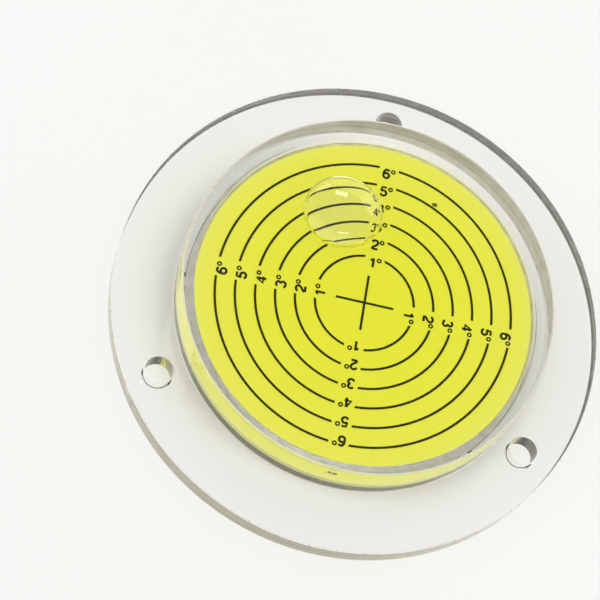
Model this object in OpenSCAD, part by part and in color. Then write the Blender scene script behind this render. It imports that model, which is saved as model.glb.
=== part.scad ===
// Bullseye level with a round clear body on a flange.
// It lies on its underside, with its centre at the origin and +Z up.
// One screw hole and the label column of the dial that points at it lie along +Y.
// Lengths are in millimetres and angles in degrees.

/* [View] */

// Part of the level to build

/* [Body] */

// Outer diameter of the clear body
body_d = 90; // [80:1:120]
// Thickness of the body's wall round the chamber
wall_t = 3.5; // [2.5:0.1:5]
// Round on the body's top edge
top_edge_r = 0.5; // [0.2:0.1:1.5]
// Fillet where the body's wall meets the flange
foot_r = 0.3; // [0.2:0.1:1]

/* [Flange] */

// Width of the flange, from the body's wall to the flange's edge
flange_w = 15; // [13:0.5:25]
// Thickness of the flange
flange_t = 6; // [4:0.5:7]
// Bevel on the flange's two outer edges
flange_bevel = 0.3; // [0.1:0.1:1]
// Number of screw holes
hole_count = 3; // [2:1:6]
// Distance of each screw hole's centre from the body's wall
hole_out = 6.5; // [5.5:0.1:8]
// Diameter of each screw hole
hole_d = 6.8; // [4:0.1:8]
// Bevel round both mouths of a screw hole
hole_bevel = 0.3; // [0.1:0.1:0.6]

/* [Chamber] */

// Depth of the liquid over the dial at the middle
liquid_h = 7.5; // [6:0.1:12]
// Thickness of the window at its middle
window_t = 3.5; // [2:0.1:5]
// Width of the ledge that the base plate seats against
ledge_w = 1.5; // [0.5:0.1:2]
// Gap between the base plate's rim and its seat, filled by the bond
bond_gap = 0.05; // [0.02:0.01:0.2]
// Thickness of the base plate, flush with the underside
base_t = 6; // [3:0.5:8]

/* [Dial] */

// Gap between the dial disc's rim and the chamber's wall
dial_gap = 0.3; // [0.1:0.1:2]
// Thickness of the dial disc
dial_t = 2; // [1:0.1:2.5]
// Number of degree rings
ring_count = 6; // [3:1:8]
// Radius of the one degree ring
first_ring_r = 12.1; // [10:0.1:14]
// Distance of the outermost ring from the dial disc's rim
ring_margin = 5; // [2:0.1:8]
// Width of the printed lines
line_w = 0.55; // [0.3:0.05:0.9]
// Height of the print over the dial
ink_t = 0.1; // [0.05:0.05:0.2]
// Length of each line of the centre cross
cross_l = 14.2; // [8:0.1:18]
// Number of label columns, which break the rings
column_count = 4; // [2:1:6]
// Reach of the label break on the digit's side of a column
break_digit_w = 1.6; // [1:0.1:2.5]
// Reach of the label break on the degree sign's side of a column
break_sign_w = 3.3; // [2:0.1:4.5]

/* [Bubble] */

// Diameter of the bubble at its widest
bubble_d = 19.4; // [12:0.1:22]
// Thickness of the bubble
bubble_t = 3.4; // [2.5:0.1:3.8]
// Round of the bubble's rim, over half its thickness so that it meets the window at an angle
bubble_rim_r = 2; // [1.9:0.1:2.4]
// Tilt of the level that the bubble's place shows
bubble_tilt = 4.65; // [0:0.05:6]
// Direction the bubble has moved in, from +X towards +Y
bubble_turn = 114.3; // [0:0.1:360]

/* [Hidden] */

$fn = 96;
// Facets of the large circle that curves the window's inner face
dome_fn = 240;
// Length by which a cut runs past the face it goes through
past = 1;

body_r = body_d / 2;
flange_r = body_r + flange_w;
hole_circle_r = body_r + hole_out;
hole_r = hole_d / 2;
chamber_r = body_r - wall_t;
seat_r = chamber_r + ledge_w;
dial_r = chamber_r - dial_gap;
bubble_r = bubble_d / 2;

// Heights of the stack, from the underside up
dial_z = base_t;
print_z = dial_z + dial_t;
ceiling_z = print_z + liquid_h;
overall_h = ceiling_z + window_t;

// A bubble under a sphere moves this far for each degree of tilt
ring_step = (dial_r - ring_margin - first_ring_r) / (ring_count - 1);
dome_r = ring_step / sin(1);

hole_step = 360 / hole_count;
column_step = 360 / column_count;

// Half section of the flange, bevelled at both outer edges
module flange_section() {
  polygon([
    [0, 0],
    [flange_r - flange_bevel, 0],
    [flange_r, flange_bevel],
    [flange_r, flange_t - flange_bevel],
    [flange_r - flange_bevel, flange_t],
    [0, flange_t]
  ]);
}

// Half section of the round body with its rounded top edge
module body_section() {
  square([body_r, overall_h - top_edge_r]);
  square([body_r - top_edge_r, overall_h]);
  translate([body_r - top_edge_r, overall_h - top_edge_r])
    circle(top_edge_r);
}

// Half section of the fillet in the corner between wall and flange
module foot_section() {
  difference() {
    translate([body_r - foot_r, flange_t - foot_r])
      square(2 * foot_r);
    translate([body_r + foot_r, flange_t + foot_r])
      circle(foot_r);
  }
}

// Half section of the chamber, from the base plate up to the curved window
module chamber_section() {
  intersection() {
    translate([0, dial_z])
      square([chamber_r, overall_h - dial_z]);
    translate([0, ceiling_z - dome_r])
      circle(dome_r, $fn = dome_fn);
  }
}

// A screw hole through the flange with a bevel at each mouth
module screw_hole() {
  translate([0, 0, -past])
    cylinder(h = flange_t + 2 * past, r = hole_r);
  translate([0, 0, -past])
    cylinder(h = past + hole_bevel, r1 = hole_r + hole_bevel + past, r2 = hole_r);
  translate([0, 0, flange_t - hole_bevel])
    cylinder(h = past + hole_bevel, r1 = hole_r, r2 = hole_r + hole_bevel + past);
}

// Puts its children at each screw hole, the first one on +Y
module at_holes() {
  for (i = [0 : hole_count - 1])
    rotate(i * hole_step)
      translate([0, hole_circle_r, 0])
        children();
}

// Turns its children to each label column, the first one on +Y
module at_columns() {
  for (i = [0 : column_count - 1])
    rotate(i * column_step)
      children();
}

// The air pocket under the window, square to the window's inner face where it sits.
// It reaches past that face so that it cuts the liquid open there.
module bubble() {
  rim_z = bubble_rim_r - bubble_t;
  flat_r = bubble_r - bubble_rim_r;
  translate([0, 0, ceiling_z - dome_r])
    rotate([0, bubble_tilt, bubble_turn])
      translate([0, 0, dome_r])
        rotate_extrude() {
          translate([0, -bubble_t])
            square([flat_r, bubble_t + past]);
          intersection() {
            translate([flat_r, rim_z])
              circle(bubble_rim_r);
            translate([0, -bubble_t])
              square([bubble_r, 2 * bubble_t]);
          }
        }
}

// One-piece clear housing: flange, wall and window
module housing() {
  color([0.86, 0.9, 0.88, 0.35])
    difference() {
      rotate_extrude()
        difference() {
          union() {
            flange_section();
            body_section();
            foot_section();
          }
          square([seat_r, dial_z]);
          chamber_section();
        }
      at_holes() screw_hole();
    }
}

// Plate bonded into the underside, which closes the chamber
module base_plate() {
  color([0.62, 0.63, 0.6])
    cylinder(h = base_t, r = seat_r - bond_gap);
}

// Plain disc that carries the print
module dial_disc() {
  color([0.93, 0.93, 0.86])
    translate([0, 0, dial_z])
      cylinder(h = dial_t, r = dial_r);
}

// Degree rings, broken at the label columns, and the centre cross
module dial_print() {
  color([0.05, 0.05, 0.03])
    translate([0, 0, print_z])
      linear_extrude(ink_t) {
        difference() {
          for (i = [0 : ring_count - 1]) {
            ring_r = first_ring_r + i * ring_step;
            difference() {
              circle(ring_r + line_w / 2);
              circle(ring_r - line_w / 2);
            }
          }
          at_columns()
            translate([-break_digit_w, 0])
              square([break_digit_w + break_sign_w, dial_r]);
        }
        square([line_w, cross_l], center = true);
        square([cross_l, line_w], center = true);
      }
}

// Liquid that fills the chamber round the dial, less the bubble
module liquid() {
  color([0.88, 0.93, 0.2, 0.6])
    difference() {
      rotate_extrude() chamber_section();
      dial_disc();
      dial_print();
      bubble();
    }
}

housing();
base_plate();
dial_disc();
dial_print();
liquid();
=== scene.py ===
# %% [markdown]
# A bullseye level shows tilt with an air bubble under a curved window.
# Its clear housing, liquid and dial are made here at the size of the CAD
# model, which is loaded first. It comes in metres, lying on its underside.

# %% Load the CAD model
import math
import bpy
from mathutils import Matrix, Quaternion, Vector


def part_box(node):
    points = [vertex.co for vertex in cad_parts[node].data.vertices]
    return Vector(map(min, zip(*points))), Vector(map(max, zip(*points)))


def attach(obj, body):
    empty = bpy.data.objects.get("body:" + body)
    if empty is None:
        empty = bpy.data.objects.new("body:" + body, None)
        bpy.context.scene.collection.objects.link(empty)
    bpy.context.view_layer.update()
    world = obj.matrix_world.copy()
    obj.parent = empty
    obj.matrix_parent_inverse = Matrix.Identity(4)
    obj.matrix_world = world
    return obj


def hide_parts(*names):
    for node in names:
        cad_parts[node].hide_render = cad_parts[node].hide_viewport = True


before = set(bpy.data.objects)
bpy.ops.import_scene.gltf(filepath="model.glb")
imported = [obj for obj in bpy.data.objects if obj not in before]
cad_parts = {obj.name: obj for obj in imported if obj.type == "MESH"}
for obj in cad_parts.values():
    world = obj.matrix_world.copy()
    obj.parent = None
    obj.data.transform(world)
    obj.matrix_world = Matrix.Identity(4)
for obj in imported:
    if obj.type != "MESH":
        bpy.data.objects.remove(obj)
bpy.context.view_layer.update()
MM = 0.001

# %% [markdown]
# Heights are read off the boxes of the CAD nodes, so that the visual model
# can't drift from them. The window's inner face is a part of a sphere, which
# no box tells. Its radius follows from the rings of the dial, because the
# bubble moves from one ring to the next with each degree of tilt.

# %% Heights and the window's curve, in millimetres
def top_of(node):
    low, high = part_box(node)
    return high[2] / MM

overall_h = top_of("housing")
base_t = top_of("base_plate")
print_z = top_of("dial_disc")
ink_z = top_of("dial_print")
window_t = 3.5
ceiling_z = overall_h - window_t
ring_step = 4.82
dome_r = ring_step / math.sin(math.radians(1))
dome_centre_z = ceiling_z - dome_r
print("height", overall_h, "dome radius", round(dome_r, 1))

# %% [markdown]
# The level lies flat here, while the photograph shows it tipped, so the
# camera stands where it stood against the level's own axes. Its place, aim
# and turn follow from how the rings and the body's edges lie in the picture.

# %% Camera
camera_at = Vector((-76.8, -201.4, 474.0)) * MM
aims_at = Vector((-13.83, 2.04, 0.0)) * MM
camera_turn = math.radians(28.53)
camera_data = bpy.data.cameras.new("photo_camera")
camera_data.sensor_width, camera_data.lens = 36, 128.3
camera = bpy.data.objects.new("photo_camera", camera_data)
bpy.context.scene.collection.objects.link(camera)
look = (aims_at - camera_at).to_track_quat("-Z", "Y") @ Quaternion((0, 0, 1), camera_turn)
camera.matrix_world = Matrix.Translation(camera_at) @ look.to_matrix().to_4x4()
bpy.context.scene.camera = camera
print("camera", [round(v, 3) for v in camera_at])

# %% [markdown]
# Shader maths reads best as plain expressions. One small class wraps a
# socket, so that a sum or a product in Python adds its Math node.

# %% Shader expressions
class Sock:
    """An output of a node, with the finish that the node belongs to."""
    def __init__(self, finish, socket):
        self.finish, self.socket = finish, socket

    def math(self, operation, first, second):
        f = self.finish
        return f.out(f.node("Math", {"operation": operation}, {0: first, 1: second}))

    def __add__(self, other): return self.math("ADD", self, other)
    def __radd__(self, other): return self.math("ADD", other, self)
    def __mul__(self, other): return self.math("MULTIPLY", self, other)
    def __rmul__(self, other): return self.math("MULTIPLY", other, self)
    def __gt__(self, other): return self.math("GREATER_THAN", self, other)
    def __lt__(self, other): return self.math("LESS_THAN", self, other)

    def step(self, low, high):
        """Rises smoothly from 0 at low to 1 at high."""
        f = self.finish
        return f.out(f.node("MapRange", {"interpolation_type": "SMOOTHSTEP"},
                            Value=self, From_Min=low, From_Max=high), "Result")

# %% [markdown]
# A finish is a material whose nodes are all added through one method. The
# shorter ones are for what most finishes need: noise of a size given in
# millimetres, a blend of two colours, a mix of two shaders, and a bump.

# %% Finishes
class Finish:
    """A material whose nodes are added with short calls."""
    def __init__(self, name):
        self.material = bpy.data.materials.new(name)
        self.material.use_nodes = True
        self.tree = self.material.node_tree
        self.tree.nodes.clear()

    def node(self, kind, settings=None, by_place=None, **by_name):
        """Adds a node. Its sockets go by place, or by name with _ for a space."""
        node = self.tree.nodes.new("ShaderNode" + kind)
        for key, value in (settings or {}).items():
            setattr(node, key, value)
        named = {key.replace("_", " "): value for key, value in by_name.items()}
        for key, value in {**(by_place or {}), **named}.items():
            socket = node.inputs[key]
            if isinstance(value, Sock):
                self.tree.links.new(value.socket, socket)
            elif isinstance(value, tuple) and socket.type == "RGBA":
                socket.default_value = (*value, 1)
            elif value is not None:
                socket.default_value = value
        return node

    def out(self, node, name=0):
        return Sock(self, node.outputs[name])

    def place(self):
        return self.out(self.node("TexCoord"), "Object")

    def noise(self, size_mm, detail=2.0, stretch=None):
        vector = self.place()
        if stretch:
            vector = self.out(self.node("Mapping", Vector=vector, Scale=stretch))
        return self.out(self.node("TexNoise", Vector=vector, Scale=1.0 / (size_mm * MM),
                                  Detail=detail), "Fac")

    def blend(self, amount, first, second):
        """One colour where amount is 0, the other where it is 1."""
        return self.out(self.node("Mix", {"data_type": "RGBA"},
                                  {0: amount, 6: first, 7: second}), 2)

    def mix(self, amount, first, second):
        """One shader where amount is 0, the other where it is 1."""
        return self.out(self.node("MixShader", None, {0: amount, 1: first, 2: second}))

    def bump(self, height, distance_mm, strength):
        return self.out(self.node("Bump", Height=height, Distance=distance_mm * MM,
                                  Strength=strength))

    def done(self, surface, volume=None):
        self.node("OutputMaterial", Surface=surface, Volume=volume)
        print("finish", self.material.name, "has", len(self.tree.nodes), "nodes")
        return self.material

# %% [markdown]
# Glass blocks lamps, so the dial under it would stay dark. Tracing the light
# through it is true but slow and full of specks. A transparent shader that
# only shadow rays and diffuse rays meet lets that light through in a
# straight line instead, and the eye still sees true glass.

# %% Clear shaders
def glass(f, index, roughness, normal=None, colour=(1.0, 1.0, 1.0), clear=1.0):
    return f.out(f.node("BsdfPrincipled", Base_Color=colour, Transmission_Weight=clear,
                        IOR=index, Roughness=roughness, Normal=normal))

def let_light_through(f, seen, tone):
    passes = f.out(f.node("BsdfTransparent", Color=(tone, tone, tone)))
    path = f.node("LightPath")
    for ray in ("Is Shadow Ray", "Is Diffuse Ray"):
        seen = f.mix(f.out(path, ray), seen, passes)
    return seen

# %% [markdown]
# The housing is acrylic, clear as water. Its flat faces are polished, and
# faint smears and wipe marks change their gloss a little. Two noises of
# different size give them, and a third one a faint ripple.

# %% Polished acrylic
ACRYLIC_INDEX = 1.49

def polished_acrylic(name):
    f = Finish(name)
    smears = f.noise(9.0, detail=3.0)
    wipes = f.noise(1.2, stretch=(1.0, 0.25, 1.0))
    roughness = 0.01 + 0.03 * (smears * wipes).step(0.25, 0.5)
    ripple = f.bump(f.noise(14.0, detail=1.0), 0.02, 0.25)
    return f.done(let_light_through(f, glass(f, ACRYLIC_INDEX, roughness, ripple), 0.99))

acrylic = polished_acrylic("clear_acrylic")

# %% [markdown]
# The wall and the flange's rim are left as turned: fine rings from the tool
# run round them, which blur what is seen through, and the edge has a slight
# cream colour. A noise that is stretched a hundred times sideways draws such
# rings. The corners were broken with abrasive, which leaves fine dull lines.
# In the photograph the far rim, which is seen from inside through the flange, is a dark line. A
# near-black colour painted on the inner side of those faces gives it, as a painted dark reflection.
# Backfacing tells which side is met, so the same face stays pale from outside.

# %% Turned acrylic
def turned_acrylic(name, clear, dark, light, dull, shade):
    """dull is the roughness, and shade how much of the inner side takes the painted dark
    reflection.
    """
    f = Finish(name)
    rings = f.noise(0.45, stretch=(0.01, 0.01, 1.0))
    grain = f.noise(1.5)
    outer = glass(f, ACRYLIC_INDEX, dull + 0.06 * grain, f.bump(rings, 0.015, 0.8),
                  f.blend(rings.step(0.35, 0.65), dark, light), clear)
    # painted dark reflection: a near-black colour shown only where a face is met from its inner
    # side
    painted_dark_reflection = f.out(f.node("BsdfPrincipled", Roughness=0.4 + 0.2 * grain,
                        Base_Color=f.blend(grain, (0.03, 0.03, 0.025), (0.10, 0.09, 0.075))))
    inner_side = f.out(f.node("NewGeometry"), "Backfacing")
    seen = f.mix(inner_side * shade * (0.6 + 0.6 * grain), outer, painted_dark_reflection)
    return f.done(let_light_through(f, seen, 0.97))

# shade sets how much painted dark reflection each finish shows from inside
turned_wall = turned_acrylic("turned_wall", clear=0.96, dull=0.04, shade=0.0,
                             dark=(0.90, 0.89, 0.72), light=(0.98, 0.97, 0.88))
turned_rim = turned_acrylic("turned_rim", clear=0.55, dull=0.12, shade=0.85,
                            dark=(0.55, 0.53, 0.40), light=(0.90, 0.88, 0.72))
edge_line = turned_acrylic("broken_edge", clear=0.4, dull=0.25, shade=0.85,
                           dark=(0.86, 0.84, 0.74), light=(0.97, 0.96, 0.90))
wall_edge = turned_acrylic("softened_edge", clear=0.6, dull=0.20, shade=0.1,
                           dark=(0.88, 0.87, 0.78), light=(0.97, 0.96, 0.90))

# %% [markdown]
# Where acrylic touches liquid, light bends by the ratio of their indexes.
# It meets the upright chamber wall so flat that it is thrown back there.
# That makes the clear band between the dial and the near edge. Where the acrylic touches cement,
# light goes on unbent, so those faces are transparent and only a little dulled. A thin bead of
# cement sits in the corner under the ledge. Its near-black tone is painted shade, which draws a
# dark line at the wall's foot.

# %% Wetted and cemented faces
LIQUID_INDEX = 1.42

def wetted_face(name):
    f = Finish(name)
    ripple = f.bump(f.noise(14.0, detail=1.0), 0.02, 0.2)
    haze = f.noise(4.0) * 0.02
    return f.done(let_light_through(f, glass(f, ACRYLIC_INDEX / LIQUID_INDEX, haze, ripple), 1.0))

def cemented_face(name, size_mm, light, dark):
    f = Finish(name)
    tone = f.blend(f.noise(size_mm).step(0.3, 0.7), light, dark)
    return f.done(f.out(f.node("BsdfTransparent", Color=tone)))

wetted = wetted_face("wetted_face")
cemented = cemented_face("cemented_face", 3.0, light=(0.97, 0.97, 0.96), dark=(0.90, 0.90, 0.87))
# the bead's near-black tone is painted shade for the dark line at the wall's foot
bead_painted_shade = cemented_face("cement_bead_painted_shade", 5.0, light=(0.50, 0.47, 0.40), dark=(0.10, 0.09, 0.07))

# %% [markdown]
# The bubble has moved away from the middle, because the level was tipped in
# the photograph. It slides along the window's curve, so its place is given
# as a tilt and a turn about the middle of that sphere.

# %% Where the bubble is
BUBBLE_TILT, BUBBLE_TURN = math.radians(4.65), math.radians(114.3)
bubble_r, bubble_deep = 9.7, 3.4
film_t = 0.06  # film of liquid between bubble and window
HAIR = 0.02  # gap that keeps two skins apart
bubble_way = Vector((math.sin(BUBBLE_TILT) * math.cos(BUBBLE_TURN),
                     math.sin(BUBBLE_TILT) * math.sin(BUBBLE_TURN), math.cos(BUBBLE_TILT)))
dome_centre = Vector((0, 0, dome_centre_z)) * MM
bubble_at = dome_centre + bubble_way * (dome_r - bubble_deep / 2) * MM
print("bubble at", [round(v / MM, 1) for v in bubble_at])

# %% [markdown]
# The liquid takes blue out of the light, the more the deeper it is. That
# makes it strong yellow in the middle and paler towards the rim and under
# the bubble. An absorbing volume inside its skin does just that. Its skin
# is unseen where it wets the window, and true glass round the bubble. Both
# are one material, because a volume has to be entered and left by the same
# one. A mask tells them apart: it is 1 near the bubble, below the film and
# above the skin that lies on the dial.

# %% Liquid finish
MASK_R, MASK_DEEP = 11.0, 5.0  # reach from the bubble's middle, depth under the window

def liquid_finish(name):
    f = Finish(name)

    def distance_to(point):
        return f.out(f.node("VectorMath", {"operation": "DISTANCE"}, {0: f.place(), 1: point}),
                     "Value")

    to_dome = distance_to(dome_centre)
    mask = ((distance_to(bubble_at) < MASK_R * MM)
            * (to_dome < (dome_r - (film_t + HAIR) / 2) * MM)
            * (to_dome > (dome_r - MASK_DEEP) * MM))
    haze = f.blend(f.noise(20.0, detail=1.0) * 0.02, (1.0, 1.0, 1.0), (0.97, 0.98, 0.95))
    unseen = f.out(f.node("BsdfTransparent", Color=haze))
    round_bubble = let_light_through(
        f, glass(f, LIQUID_INDEX, f.noise(30.0, detail=1.0) * 0.002), 0.95)
    tint = f.out(f.node("VolumeAbsorption", Color=(0.985, 0.98, 0.0), Density=127.0))
    return f.done(f.mix(mask, unseen, round_bubble), tint)

tinted_liquid = liquid_finish("level_liquid")

# %% [markdown]
# The dial is a matt yellow plastic disc, and the print on it a dense ink.
# Part of the yellow is in the dial and part in the liquid over it. Either
# alone would give a dial that is too even or a rim that is too pale.

# %% Dial and ink
def dial_plastic(name):
    f = Finish(name)
    cloud, grain = f.noise(6.0, detail=3.0), f.noise(0.15)
    colour = f.blend(cloud, (0.785, 0.80, 0.30), (0.825, 0.835, 0.34))
    return f.done(f.out(f.node("BsdfPrincipled", Base_Color=colour, Roughness=0.45 + 0.15 * cloud,
                               Normal=f.bump(grain, 0.01, 0.3))))

def print_ink(name):
    f = Finish(name)
    grain = f.noise(0.2)
    colour = f.blend(grain, (0.003, 0.0025, 0.001), (0.008, 0.007, 0.003))
    return f.done(f.out(f.node("BsdfPrincipled", Base_Color=colour, Roughness=0.5 + 0.2 * grain,
                               Specular_IOR_Level=0.2)))

dial_yellow = dial_plastic("dial_plastic")
ink = print_ink("print_ink")

# %% [markdown]
# The housing, the discs, the liquid and the bubble are all round, so they
# are modelled as on a lathe: one vertex is extruded along the half section,
# and the line is spun round the axis. Cylinders that are cut and joined
# would need bevels afterwards, while a section has them from the start.

# %% Helpers for turned pieces
SPIN_STEPS = 192
WELD = 2e-7  # points nearer than this, in metres, become one
SMOOTH_UNDER = 30  # degrees

def pick(*pieces):
    """Selects these pieces alone, with the first one active."""
    if bpy.context.object and bpy.context.object.mode != "OBJECT":
        bpy.ops.object.mode_set(mode="OBJECT")
    bpy.ops.object.select_all(action="DESELECT")
    for piece in pieces:
        piece.select_set(True)
    if pieces:
        bpy.context.view_layer.objects.active = pieces[0]

def edit_all():
    bpy.ops.object.mode_set(mode="EDIT")
    bpy.ops.mesh.select_all(action="SELECT")

def arc(centre, radius, start, end, steps):
    """Points of an arc in the section, from start to end in degrees."""
    angles = [math.radians(start + (end - start) * i / steps) for i in range(steps + 1)]
    return [(centre[0] + radius * math.cos(a), centre[1] + radius * math.sin(a)) for a in angles]

def turned(name, section, steps=SPIN_STEPS, smooth=SMOOTH_UNDER):
    """Spins a half section of (radius, height) points in millimetres."""
    pick()
    bpy.ops.mesh.primitive_plane_add(size=MM)
    piece = bpy.context.object
    piece.name = piece.data.name = name
    edit_all()
    bpy.ops.mesh.merge(type="CENTER")
    here = Vector((0, 0, 0))
    for i, (radius, height) in enumerate(section):
        there = Vector((radius, 0, height)) * MM
        if i == 0:
            bpy.ops.transform.translate(value=there)
        else:
            bpy.ops.mesh.extrude_region_move(TRANSFORM_OT_translate={"value": there - here})
        here = there
    bpy.ops.mesh.select_all(action="SELECT")
    bpy.ops.mesh.spin(steps=steps, angle=2 * math.pi, center=(0, 0, 0), axis=(0, 0, 1),
                      use_auto_merge=True)
    bpy.ops.mesh.select_all(action="SELECT")
    bpy.ops.mesh.remove_doubles(threshold=WELD)
    bpy.ops.mesh.normals_make_consistent(inside=False)
    bpy.ops.object.mode_set(mode="OBJECT")
    bpy.ops.object.shade_smooth_by_angle(angle=math.radians(smooth))
    print(name, len(piece.data.polygons), "faces")
    return piece

def wear(piece, *materials):
    piece.data.materials.clear()
    for material in materials:
        piece.data.materials.append(material)

# %% [markdown]
# The half section follows the CAD model: window, rounded top edge, wall,
# foot fillet and bevelled flange outside, and seat, ledge, chamber wall and
# the hollow curve of the window inside. Smooth shading would bend the light
# all over a wide flat face, so a support point stands close to each rounded
# edge, and two more on the window.

# %% Housing section
flange_r, flange_t, flange_bevel = 60.0, 6.0, 0.3
body_r, top_edge_r, foot_r = 45.0, 0.5, 0.3
chamber_r, seat_r = 41.5, 43.0
support = 0.3  # distance of a support point from its rounded edge
bead_h = 0.35  # height of the cement's bead under the ledge

dome_edge_angle = math.degrees(math.acos(chamber_r / dome_r))
dome_line = arc((0, dome_centre_z), dome_r, dome_edge_angle, 90, 20)
dome_line[-1] = (0.0, ceiling_z)
edge_in, wall_top = body_r - top_edge_r, overall_h - top_edge_r
foot_out, foot_top = body_r + foot_r, flange_t + foot_r
window_face = [(r, overall_h) for r in (0.0, 20.0, 40.0, edge_in - support)]
top_edge = arc((edge_in, wall_top), top_edge_r, 90, 0, 8)
wall_face = [(body_r, wall_top - support), (body_r, foot_top + support)]
foot = arc((foot_out, foot_top), foot_r, 180, 270, 6) + [(foot_out + support, flange_t)]
flange = [(flange_r - flange_bevel, flange_t), (flange_r, flange_t - flange_bevel),
          (flange_r, flange_bevel), (flange_r - flange_bevel, 0.0)]
seat = [(seat_r, 0.0), (seat_r, base_t - bead_h), (seat_r, base_t), (chamber_r, base_t)]
housing = turned("clear_housing",
                 window_face + top_edge + wall_face + foot + flange + seat + dome_line)

# %% [markdown]
# The screw holes are drilled, as on the real part: a cutter with a bevel for
# each mouth is turned and taken away with a Boolean modifier. The Boolean
# leaves slivers thinner than a hair, which are merged away.

# %% Drill the screw holes
hole_circle_r, hole_r, hole_bevel = 51.5, 3.4, 0.3
PAST = 1  # how far the cutter reaches past the flange
SLIVER = 0.002
mouth_r = hole_r + hole_bevel + PAST
drill_section = [(0, -PAST), (mouth_r, -PAST), (hole_r, hole_bevel),
                 (hole_r, flange_t - hole_bevel), (mouth_r, flange_t + PAST), (0, flange_t + PAST)]
for i in range(3):
    turn = math.radians(90 + 120 * i)
    drill = turned("drill", drill_section, steps=64)
    edit_all()
    bpy.ops.transform.translate(value=Vector((hole_circle_r * math.cos(turn),
                                              hole_circle_r * math.sin(turn), 0)) * MM)
    pick(housing)
    cut = housing.modifiers.new("screw_hole", "BOOLEAN")
    cut.operation, cut.solver, cut.object = "DIFFERENCE", "EXACT", drill
    bpy.ops.object.modifier_apply(modifier=cut.name)
    bpy.data.objects.remove(drill)
edit_all()
bpy.ops.mesh.remove_doubles(threshold=SLIVER * MM)
bpy.ops.mesh.dissolve_degenerate(threshold=SLIVER * MM)
bpy.ops.object.mode_set(mode="OBJECT")
bpy.ops.object.shade_smooth_by_angle(angle=math.radians(SMOOTH_UNDER))
print("drilled housing", len(housing.data.polygons), "faces")

# %% [markdown]
# One clear piece has many finishes: polished outside, turned on the wall and
# rim, dull on the broken edges, wetted by the liquid inside and cemented to
# the base plate. They are material slots of one mesh, and each face takes
# its slot by how far out and how high its centre lies.

# %% Finishes of the housing's faces
POLISHED, WETTED, WALL, CEMENTED, EDGE_LINE, RIM, WALL_EDGE, BEAD_PAINTED_SHADE = range(8)
wear(housing, acrylic, wetted, turned_wall, cemented, edge_line, turned_rim, wall_edge, bead_painted_shade)
NEAR, TOUCH, ON_ROUND = 0.01, 0.001, 0.1  # slack, because facets lie inside their circle
on_bevel = 0.9 * flange_bevel

def finish_of(r, z):
    if r < chamber_r + NEAR and base_t + TOUCH < z < ceiling_z + NEAR:
        return WETTED
    # faces of the cement bead, whose dark tone is painted shade
    if abs(r - seat_r) < 2 * NEAR and base_t - bead_h < z < base_t - NEAR:
        return BEAD_PAINTED_SHADE
    if r < seat_r + NEAR and TOUCH < z < base_t + TOUCH:
        return CEMENTED
    if r > flange_r - on_bevel and (abs(z) < on_bevel or abs(z - flange_t) < on_bevel):
        return EDGE_LINE
    if r > flange_r - ON_ROUND:
        return RIM
    if r > edge_in and (z > wall_top or flange_t + TOUCH < z < foot_top):
        return WALL_EDGE
    if abs(r - body_r) < ON_ROUND and flange_t < z < wall_top:
        return WALL
    return POLISHED

for face in housing.data.polygons:
    middle = face.center / MM
    face.material_index = finish_of(math.hypot(middle.x, middle.y), middle.z)
counts = [sum(face.material_index == i for face in housing.data.polygons)
          for i in range(len(housing.data.materials))]
print("faces of each finish", counts)

# %% [markdown]
# The base plate is cemented into its seat, so only its underside is seen as
# a surface, and its other faces are as clear as the cement. It and the dial
# are turned discs with a small bevel at the rim, which catches the light.

# %% Base plate and dial disc
bond_gap = 0.05
dial_r = 41.2
UNDERSIDE = 0.1  # faces with their middle above this are cemented

def disc(name, radius, low, high, bevel, material, node):
    piece = turned(name, [(0, low), (radius - bevel, low), (radius, low + bevel),
                          (radius, high - bevel), (radius - bevel, high), (0, high)])
    wear(piece, material)
    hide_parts(node)
    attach(piece, "root")
    return piece

base_disc = disc("clear_base_plate", seat_r - bond_gap, 0.0, base_t, bevel=0.15,
                 material=acrylic, node="base_plate")
base_disc.data.materials.append(cemented)
for face in base_disc.data.polygons:
    face.material_index = int(face.center.z > UNDERSIDE * MM)
disc("yellow_dial_disc", dial_r, base_t + HAIR, print_z, bevel=0.1,
     material=dial_yellow, node="dial_disc")

# %% [markdown]
# The liquid is a turned solid that stops a hair short of the housing, so
# that no two faces lie in one place. It goes down round the dial.

# %% Liquid
liquid_dome = arc((0, dome_centre_z - HAIR), dome_r, dome_edge_angle + 0.01, 90, 20)
liquid_dome[-1] = (0.0, ceiling_z - HAIR)
liquid = turned("yellow_liquid",
                [(0.0, ink_z + HAIR), (dial_r + HAIR, ink_z + HAIR), (dial_r + HAIR, base_t + HAIR),
                 (chamber_r - HAIR, base_t + HAIR)] + liquid_dome)

# %% [markdown]
# The bubble is a flat drop of air that a film of liquid keeps off the
# window. Its side bulges as surface tension and gravity balance. A squashed
# ball would be too thin at its rim, so the side is worked out step by step
# from its lowest point, and the curve there is searched for until the bubble
# is as wide as in the photograph.

# %% Shape of the bubble's side
CAPILLARY = 1.75  # length at which gravity and surface tension weigh the same
SIDE_STEP = 0.02
MOST_POINTS = 4000
NEARS_WINDOW = math.radians(174)

def hanging_shape(apex_r):
    """Points of the bubble's side, from its lowest point to where it nears the window."""
    x, z, phi, points = 1e-6, 0.0, 0.0, [(0.0, 0.0)]
    while phi < NEARS_WINDOW and len(points) < MOST_POINTS:
        bend = 2 / apex_r + z / CAPILLARY ** 2 - (math.sin(phi) / x if x > 1e-3 else 1 / apex_r)
        x, z = x + SIDE_STEP * math.cos(phi), z + SIDE_STEP * math.sin(phi)
        phi += SIDE_STEP * bend
        points.append((x, z))
    return points

low, high = 1.0, 4000.0
for _ in range(40):
    middle = math.sqrt(low * high)
    if max(x for x, z in hanging_shape(middle)) < bubble_r:
        low = middle
    else:
        high = middle
side = hanging_shape(middle)
print("bubble", round(2 * max(x for x, z in side), 1), "mm wide, from", len(side), "points")

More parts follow.
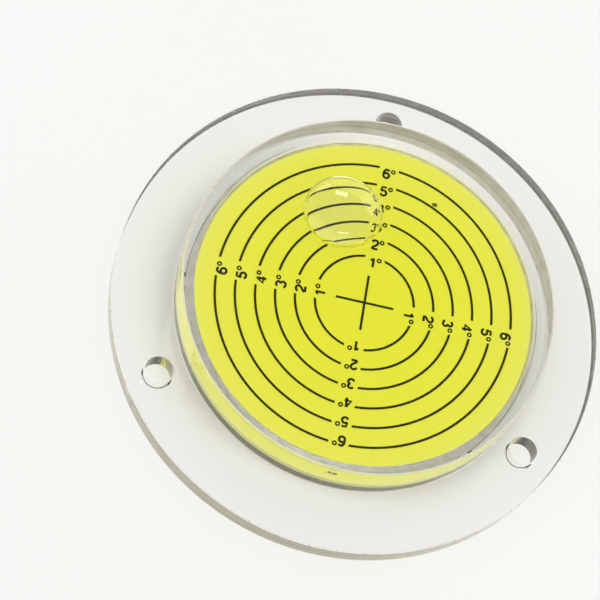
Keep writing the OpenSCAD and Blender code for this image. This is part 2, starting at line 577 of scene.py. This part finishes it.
# %% [markdown]
# A cap that follows the window's curve closes the side at its top. The whole
# is spun, turned inside out, because it is a hollow, tipped to lie square to
# the window at its place, and joined to the liquid as the skin of the
# hollow in it.

# %% Bubble
KEEP_EACH = 16  # the side keeps one point of so many
CAP_STEPS, CAP_GAP = 8, 0.005
cap_r = dome_r - film_t
rim_x, rim_z = side[-1]

def cap_z(x):
    return math.sqrt(cap_r ** 2 - x ** 2) - cap_r

lift = cap_z(rim_x) - rim_z - CAP_GAP
belly = [(x, z + lift) for i, (x, z) in enumerate(side) if i % KEEP_EACH == 0 or i == len(side) - 1]
belly[0] = (0.0, lift)
cap = [(rim_x * k / CAP_STEPS, cap_z(rim_x * k / CAP_STEPS)) for k in reversed(range(CAP_STEPS))]
print("bubble", round(-lift, 2), "mm deep")
bubble = turned("bubble", belly + cap, steps=128, smooth=60)
edit_all()
bpy.ops.mesh.normals_make_consistent(inside=True)
bpy.ops.object.mode_set(mode="OBJECT")
bubble.data.transform(Matrix.Translation(dome_centre)
                      @ Matrix.Rotation(BUBBLE_TURN, 4, "Z") @ Matrix.Rotation(BUBBLE_TILT, 4, "Y")
                      @ Matrix.Translation(Vector((0, 0, cap_r)) * MM))
wear(bubble, tinted_liquid)
wear(liquid, tinted_liquid)
pick(liquid, bubble)
bpy.ops.object.join()
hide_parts("liquid")
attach(liquid, "root")
print("liquid", len(liquid.data.polygons), "faces")

# %% [markdown]
# The dressed housing now stands for the CAD one, which stays unseen for
# collisions.

# %% Housing takes the CAD node's place
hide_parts("housing")
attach(housing, "root")
print(housing.name, "rides on root")

# %% [markdown]
# The rings and the cross are good as the CAD has them, so they stay and
# take the ink. The numerals are drawn as pen strokes of one width, in the
# plain upright style of instrument lettering. A text object could make them
# too, but its letters don't have strokes of one width with round ends.

# %% Strokes of the numerals
def bow(x, y, wide, high, start, end, steps=14):
    """Points of an upright elliptical bow."""
    angles = [math.radians(start + (end - start) * i / steps) for i in range(steps + 1)]
    return [(x + wide * math.cos(a), y + high * math.sin(a)) for a in angles]

STROKES = {
    1: [[(0.22, -1.18), (0.22, 1.14)],
        [(0.22, 1.12), (0.06, 0.84), (-0.18, 0.70), (-0.42, 0.66)]],
    2: [bow(0.0, 0.50, 0.62, 0.62, 172, -28) + [(0.30, -0.12), (-0.30, -0.58), (-0.62, -1.10)],
        [(-0.62, -1.14), (0.66, -1.14)]],
    3: [bow(-0.02, 0.60, 0.55, 0.53, 160, -80),
        bow(-0.02, -0.52, 0.64, 0.62, 80, -162)],
    4: [[(0.30, 1.10), (-0.70, -0.50), (0.74, -0.50)],
        [(0.30, 1.14), (0.30, -1.18)]],
    5: [[(0.56, 1.12), (-0.38, 1.12), (-0.54, 0.02)],
        bow(-0.02, -0.42, 0.66, 0.70, 140, -158)],
    6: [bow(0.0, -0.45, 0.63, 0.68, 0, 360, 24),
        bow(0.03, -0.20, 0.66, 1.32, 180, 62) + bow(0.14, 0.66, 0.42, 0.46, 80, 20, 5)],
}
print("strokes", {degree: len(lines) for degree, lines in STROKES.items()})

# %% [markdown]
# A pen draws the strokes as curves with a round section, which are made a
# mesh and pressed flat. Each numeral stands in the break of its ring, head
# outwards, with the degree sign beside it. The four columns are a quarter
# turn apart, and together they sit a little off the middle of the rings, as
# they do in the photograph.

# %% Place the numerals
STROKE_W, PRESSED_T, DIGIT_WIDE = 0.57, 0.07, 1.12
SIGN_R, SIGN_W = 0.43, 0.36
first_ring_r = 12.1
digit_in, digit_aside = 1.08, 0.24
sign_shift = Vector((1.64, 0.8, 0))
print_at = Vector((0.07, -0.33, 0)) + Vector((0, 0, (print_z + ink_z) / 2 + 0.01))
press = Matrix.Diagonal((1, 1, PRESSED_T / STROKE_W, 1))

def pen(lines, width, turn, shift, ring=False):
    """Draws lines of (x, y) points in millimetres and presses them onto the dial."""
    curve = bpy.data.curves.new("mark", "CURVE")
    curve.dimensions = "3D"
    curve.bevel_depth = width / 2
    curve.bevel_resolution = 2
    curve.use_fill_caps = True
    for line in lines:
        spline = curve.splines.new("POLY")
        spline.points.add(len(line) - 1)
        spline.use_cyclic_u = ring
        for point, (x, y) in zip(spline.points, line):
            point.co = (x, y, 0, 1)
    drawn = bpy.data.objects.new("mark", curve)
    bpy.context.scene.collection.objects.link(drawn)
    pick(drawn)
    bpy.ops.object.convert(target="MESH")
    mark = bpy.context.object
    mark.data.transform(Matrix.Scale(MM, 4) @ Matrix.Translation(print_at)
                        @ turn @ Matrix.Translation(shift) @ press)
    return mark

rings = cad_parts["dial_print"]
wear(rings, ink)
marks = []
for column in range(4):
    turn = Matrix.Rotation(-math.pi / 2 * column, 4, "Z")
    for degree, lines in STROKES.items():
        ring_r = first_ring_r + (degree - 1) * ring_step
        stand = Vector((digit_aside, ring_r - digit_in, 0))
        digit = [[(x * DIGIT_WIDE, y) for x, y in line] for line in lines]
        marks.append(pen(digit, STROKE_W, turn, stand))
        marks.append(pen([bow(0, 0, SIGN_R, SIGN_R, 0, 345, 23)], SIGN_W, turn,
                         stand + sign_shift, ring=True))
pick(*marks)
bpy.ops.object.join()
numerals = bpy.context.object
numerals.name = numerals.data.name = "dial_numerals"
wear(numerals, ink)
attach(numerals, "root")
print("numerals", len(numerals.data.polygons), "faces")

# %% [markdown]
# A small dark fleck of dirt lies on the dial by the five degree ring. It is
# a ball with its points pushed about by a few sine waves, so that it has no
# even outline, and pressed flat.

# %% Fleck of dirt
FLECK_R, FLECK_NARROW, FLECK_FLAT = 0.6, 0.8, 0.22
pick()
bpy.ops.mesh.primitive_ico_sphere_add(subdivisions=3, radius=FLECK_R * MM)
fleck = bpy.context.object
fleck.name = fleck.data.name = "dirt_fleck"
for v in fleck.data.vertices:
    n = v.co.normalized()
    grow = (1 + 0.25 * math.sin(5 * n.x + 2) * math.cos(4 * n.y)
            + 0.15 * math.sin(9 * n.y + 3 * n.x))
    v.co = Vector((v.co.x * grow, v.co.y * grow * FLECK_NARROW, v.co.z * FLECK_FLAT))
fleck_at = Vector((13.3, 29.5, print_z + 0.1)) * MM
fleck.data.transform(Matrix.Translation(fleck_at))
bpy.ops.object.shade_smooth()
f = Finish("dirt")
speckle = f.noise(0.2, detail=3.0)
wear(fleck, f.done(f.out(f.node("BsdfPrincipled", Roughness=0.7 + 0.2 * speckle,
                                Base_Color=f.blend(speckle, (0.05, 0.07, 0.01),
                                                   (0.13, 0.15, 0.03))))))
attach(fleck, "root")
print("fleck at", [round(v / MM, 1) for v in fleck_at])

# %% [markdown]
# The floor is plain and pale, with a faint mottle as paint has. It lies half
# a millimetre under the level, so that no two faces lie in one place.

# %% Floor
pick()
bpy.ops.mesh.primitive_plane_add(size=6, location=(0, 0, -0.5 * MM))
floor = bpy.context.object
floor.name = "floor"
f = Finish("floor_paint")
mottle = f.blend(f.noise(200.0), (0.89, 0.885, 0.87), (0.92, 0.915, 0.905))
wear(floor, f.done(f.out(f.node("BsdfPrincipled", Base_Color=mottle, Roughness=0.9))))
print("floor", [round(v, 2) for v in floor.dimensions])

# %% [markdown]
# Large soft lamps and an even world light the level, as in a small studio.
# They stand off to the sides, so that the flat window mirrors none of them
# into the camera. A very small lamp stands where the window's inner face
# mirrors it over the bubble, as a streak. Light crosses many clear faces on
# its way to the dial and back, so more of them are let count than usual.

# %% Lamps and world
LAMPS = {  # place in metres, width in metres, power in watts
    "key_lamp": ((0.975, -0.17, 0.99), 0.9, 10.3),
    "fill_lamp": ((-1.13, -0.2, 0.8), 1.5, 8.2),
    "back_lamp": ((0.23, 1.3, 0.7), 1.0, 4.2),
    "top_lamp": ((-0.7, 0.4, 1.3), 0.8, 5.0),
    "glint_lamp": ((0.026, 1.02, 1.07), 0.055, 0.08),
}
GLINT_HIGH = 0.028
for name, (place, width, power) in LAMPS.items():
    data = bpy.data.lights.new(name, "AREA")
    data.shape, data.size, data.energy = "DISK", width, power
    made = bpy.data.objects.new(name, data)
    bpy.context.scene.collection.objects.link(made)
    made.location = place
    made.rotation_euler = (-Vector(place)).to_track_quat("-Z", "Y").to_euler()
glint = bpy.data.lights["glint_lamp"]
glint.shape, glint.size_y = "RECTANGLE", GLINT_HIGH
world = bpy.data.worlds.new("studio")
bpy.context.scene.world = world
world.use_nodes = True
sky = world.node_tree.nodes["Background"]
sky.inputs["Color"].default_value = (0.92, 0.91, 0.89, 1)
sky.inputs["Strength"].default_value = 0.28
bpy.context.scene.view_settings.view_transform = "Standard"
bpy.context.scene.cycles.transparent_max_bounces = 32
print("lamps", list(LAMPS))
